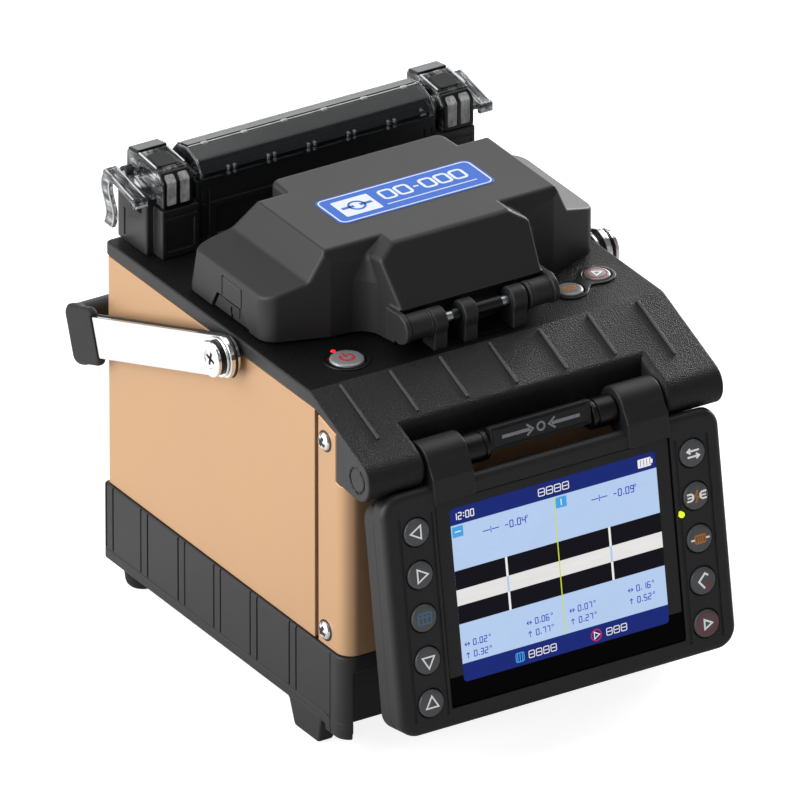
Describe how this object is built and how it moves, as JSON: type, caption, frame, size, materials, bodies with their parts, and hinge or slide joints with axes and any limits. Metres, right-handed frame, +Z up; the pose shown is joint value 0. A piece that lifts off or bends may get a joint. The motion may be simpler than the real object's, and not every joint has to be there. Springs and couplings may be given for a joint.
{
  "type": "fiber fusion splicer",
  "caption": "Fiber fusion splicer with hinged wind cover, tilting monitor, sleeve heater with clear lids, swing handle, metal case and ribbed base tray with a slide-out battery.",
  "frame": {"origin": "centre of the overall box in plan, at the level of the feet", "axes": "+Z up, +Y towards the heater at the rear, -Y towards the operator and the monitor, +X to the operator's right"},
  "size_m": [0.1688, 0.2169, 0.1764],
  "materials": {
    "tray_plastic": "satin moulded plastic, dark grey",
    "foot_rubber": "matte rubber",
    "gold_aluminium": "satin champagne gold finish on aluminium",
    "chrome": "polished chrome plate",
    "black_plastic": "smooth satin black plastic",
    "grained_plastic": "black plastic with a fine spark-eroded grain",
    "steel": "ground steel",
    "machined_aluminium": "machined",
    "ceramic": "ground zirconia, stated as a hard gloss plastic",
    "circuit_board": "green solder resist",
    "battery_plastic": "satin black plastic",
    "red_indicator": "translucent red",
    "lime_indicator": "translucent yellow green",
    "display": "backlit liquid crystal display",
    "screen_window": "clear hard window with a dark border",
    "grip_rubber": "matte black plastic grip",
    "clear_plastic": "lightly smoked clear polycarbonate",
    "key_plastic": "satin grey key"
  },
  "bodies": {
    "chassis": {"base_tray": "tray_plastic", "rear_foot_left": "foot_rubber", "rear_foot_right": "foot_rubber", "body_shell": "gold_aluminium", "front_panel": "gold_aluminium", "screw_left_upper": "chrome", "screw_left_lower": "chrome", "screw_right_upper": "chrome", "screw_right_lower": "chrome", "power_socket": "black_plastic", "top_deck": "grained_plastic", "cover_hinge_pin": "steel", "monitor_hinge_pin_left": "black_plastic", "monitor_hinge_pin_right": "black_plastic", "name_plate": "black_plastic", "power_led": "red_indicator", "chamber_base": "machined_aluminium", "vgroove_block": "ceramic", "electrode_front": "steel", "electrode_rear": "steel", "objective_lens_front": "black_plastic", "objective_lens_rear": "black_plastic", "main_board": "circuit_board", "heater_housing": "black_plastic", "heater_hinge_pin": "steel", "heater_trough": "machined_aluminium", "handle_pivot_left": "chrome", "handle_pivot_right": "chrome"},
    "battery": {"battery_pack": "battery_plastic"},
    "wind_cover": {"wind_cover": "black_plastic", "fiber_presser_left": "black_plastic", "fiber_presser_right": "black_plastic"},
    "monitor": {"monitor_bezel": "black_plastic", "monitor_back": "black_plastic", "lcd_module": "display", "screen_glass": "screen_window", "status_led": "lime_indicator"},
    "handle": {"handle_arm_left": "chrome", "handle_arm_right": "chrome", "handle_grip": "grip_rubber"},
    "heater_lid": {"heater_lid": "clear_plastic"},
    "heater_clamp_left": {"heater_clamp_left": "clear_plastic"},
    "heater_clamp_right": {"heater_clamp_right": "clear_plastic"},
    "feed_stage_left": {"feed_stage_left": "machined_aluminium"},
    "feed_stage_right": {"feed_stage_right": "machined_aluminium"},
    "sheath_clamp_left": {"sheath_clamp_left": "steel"},
    "sheath_clamp_right": {"sheath_clamp_right": "steel"},
    "power_key": {"power_key": "key_plastic"},
    "heat_key": {"heat_key": "key_plastic"},
    "start_key": {"start_key": "key_plastic"},
    "key_left_1_left": {"key_left_1_left": "key_plastic"},
    "key_left_2_right": {"key_left_2_right": "key_plastic"},
    "key_left_3_menu": {"key_left_3_menu": "key_plastic"},
    "key_left_4_down": {"key_left_4_down": "key_plastic"},
    "key_left_5_up": {"key_left_5_up": "key_plastic"},
    "key_right_1_view": {"key_right_1_view": "key_plastic"},
    "key_right_2_arc": {"key_right_2_arc": "key_plastic"},
    "key_right_3_heat": {"key_right_3_heat": "key_plastic"},
    "key_right_4_reset": {"key_right_4_reset": "key_plastic"},
    "key_right_5_start": {"key_right_5_start": "key_plastic"}
  },
  "joints": [
    {"name": "battery_slide", "type": "slide", "parent": "chassis", "child": "battery", "axis": [0, 1, 0], "range_m": [0, 0.13]},
    {"name": "cover_hinge", "type": "hinge", "parent": "chassis", "child": "wind_cover", "pos_m": [0, -0.04335, 0.1492], "axis": [1, 0, 0], "range_deg": [0, 105]},
    {"name": "handle_hinge", "type": "hinge", "parent": "chassis", "child": "handle", "pos_m": [0, 0.00145, 0.1322], "axis": [1, 0, 0], "range_deg": [0, 110]},
    {"name": "heater_clamp_left_hinge", "type": "hinge", "parent": "chassis", "child": "heater_clamp_left", "pos_m": [-0.0595, 0.08644, 0.1662], "axis": [-1, 0, 0], "range_deg": [0, 85]},
    {"name": "heater_clamp_right_hinge", "type": "hinge", "parent": "chassis", "child": "heater_clamp_right", "pos_m": [0.0595, 0.08644, 0.1662], "axis": [-1, 0, 0], "range_deg": [0, 85]},
    {"name": "heater_lid_hinge", "type": "hinge", "parent": "chassis", "child": "heater_lid", "pos_m": [0, 0.08644, 0.1662], "axis": [-1, 0, 0], "range_deg": [0, 95]},
    {"name": "monitor_hinge", "type": "hinge", "parent": "chassis", "child": "monitor", "pos_m": [0, -0.08356, 0.1177], "axis": [-1, 0, 0], "range_deg": [-8, 120]},
    {"name": "stage_left_slide", "type": "slide", "parent": "chassis", "child": "feed_stage_left", "axis": [1, 0, 0], "range_m": [-0.002, 0.005]},
    {"name": "stage_right_slide", "type": "slide", "parent": "chassis", "child": "feed_stage_right", "axis": [-1, 0, 0], "range_m": [-0.002, 0.005]},
    {"name": "sheath_clamp_left_hinge", "type": "hinge", "parent": "feed_stage_left", "child": "sheath_clamp_left", "pos_m": [-0.035, 0.02235, 0.1468], "axis": [-1, 0, 0], "range_deg": [0, 85]},
    {"name": "sheath_clamp_right_hinge", "type": "hinge", "parent": "feed_stage_right", "child": "sheath_clamp_right", "pos_m": [0.035, 0.02235, 0.1468], "axis": [-1, 0, 0], "range_deg": [0, 85]},
    {"name": "press_power_key", "type": "slide", "parent": "chassis", "child": "power_key", "axis": [0, 0, -1], "range_m": [0, 0.001], "stiffness_N_per_m": 800, "springref_m": -0.0004},
    {"name": "press_heat_key", "type": "slide", "parent": "chassis", "child": "heat_key", "axis": [0, 0, -1], "range_m": [0, 0.001], "stiffness_N_per_m": 800, "springref_m": -0.0004},
    {"name": "press_start_key", "type": "slide", "parent": "chassis", "child": "start_key", "axis": [0, 0, -1], "range_m": [0, 0.001], "stiffness_N_per_m": 800, "springref_m": -0.0004},
    {"name": "press_key_left_1_left", "type": "slide", "parent": "monitor", "child": "key_left_1_left", "axis": [0, 0.9877, -0.1564], "range_m": [0, 0.0008], "stiffness_N_per_m": 800, "springref_m": -0.0004},
    {"name": "press_key_left_2_right", "type": "slide", "parent": "monitor", "child": "key_left_2_right", "axis": [0, 0.9877, -0.1564], "range_m": [0, 0.0008], "stiffness_N_per_m": 800, "springref_m": -0.0004},
    {"name": "press_key_left_3_menu", "type": "slide", "parent": "monitor", "child": "key_left_3_menu", "axis": [0, 0.9877, -0.1564], "range_m": [0, 0.0008], "stiffness_N_per_m": 800, "springref_m": -0.0004},
    {"name": "press_key_left_4_down", "type": "slide", "parent": "monitor", "child": "key_left_4_down", "axis": [0, 0.9877, -0.1564], "range_m": [0, 0.0008], "stiffness_N_per_m": 800, "springref_m": -0.0004},
    {"name": "press_key_left_5_up", "type": "slide", "parent": "monitor", "child": "key_left_5_up", "axis": [0, 0.9877, -0.1564], "range_m": [0, 0.0008], "stiffness_N_per_m": 800, "springref_m": -0.0004},
    {"name": "press_key_right_1_view", "type": "slide", "parent": "monitor", "child": "key_right_1_view", "axis": [0, 0.9877, -0.1564], "range_m": [0, 0.0008], "stiffness_N_per_m": 800, "springref_m": -0.0004},
    {"name": "press_key_right_2_arc", "type": "slide", "parent": "monitor", "child": "key_right_2_arc", "axis": [0, 0.9877, -0.1564], "range_m": [0, 0.0008], "stiffness_N_per_m": 800, "springref_m": -0.0004},
    {"name": "press_key_right_3_heat", "type": "slide", "parent": "monitor", "child": "key_right_3_heat", "axis": [0, 0.9877, -0.1564], "range_m": [0, 0.0008], "stiffness_N_per_m": 800, "springref_m": -0.0004},
    {"name": "press_key_right_4_reset", "type": "slide", "parent": "monitor", "child": "key_right_4_reset", "axis": [0, 0.9877, -0.1564], "range_m": [0, 0.0008], "stiffness_N_per_m": 800, "springref_m": -0.0004},
    {"name": "press_key_right_5_start", "type": "slide", "parent": "monitor", "child": "key_right_5_start", "axis": [0, 0.9877, -0.1564], "range_m": [0, 0.0008], "stiffness_N_per_m": 800, "springref_m": -0.0004}
  ]
}
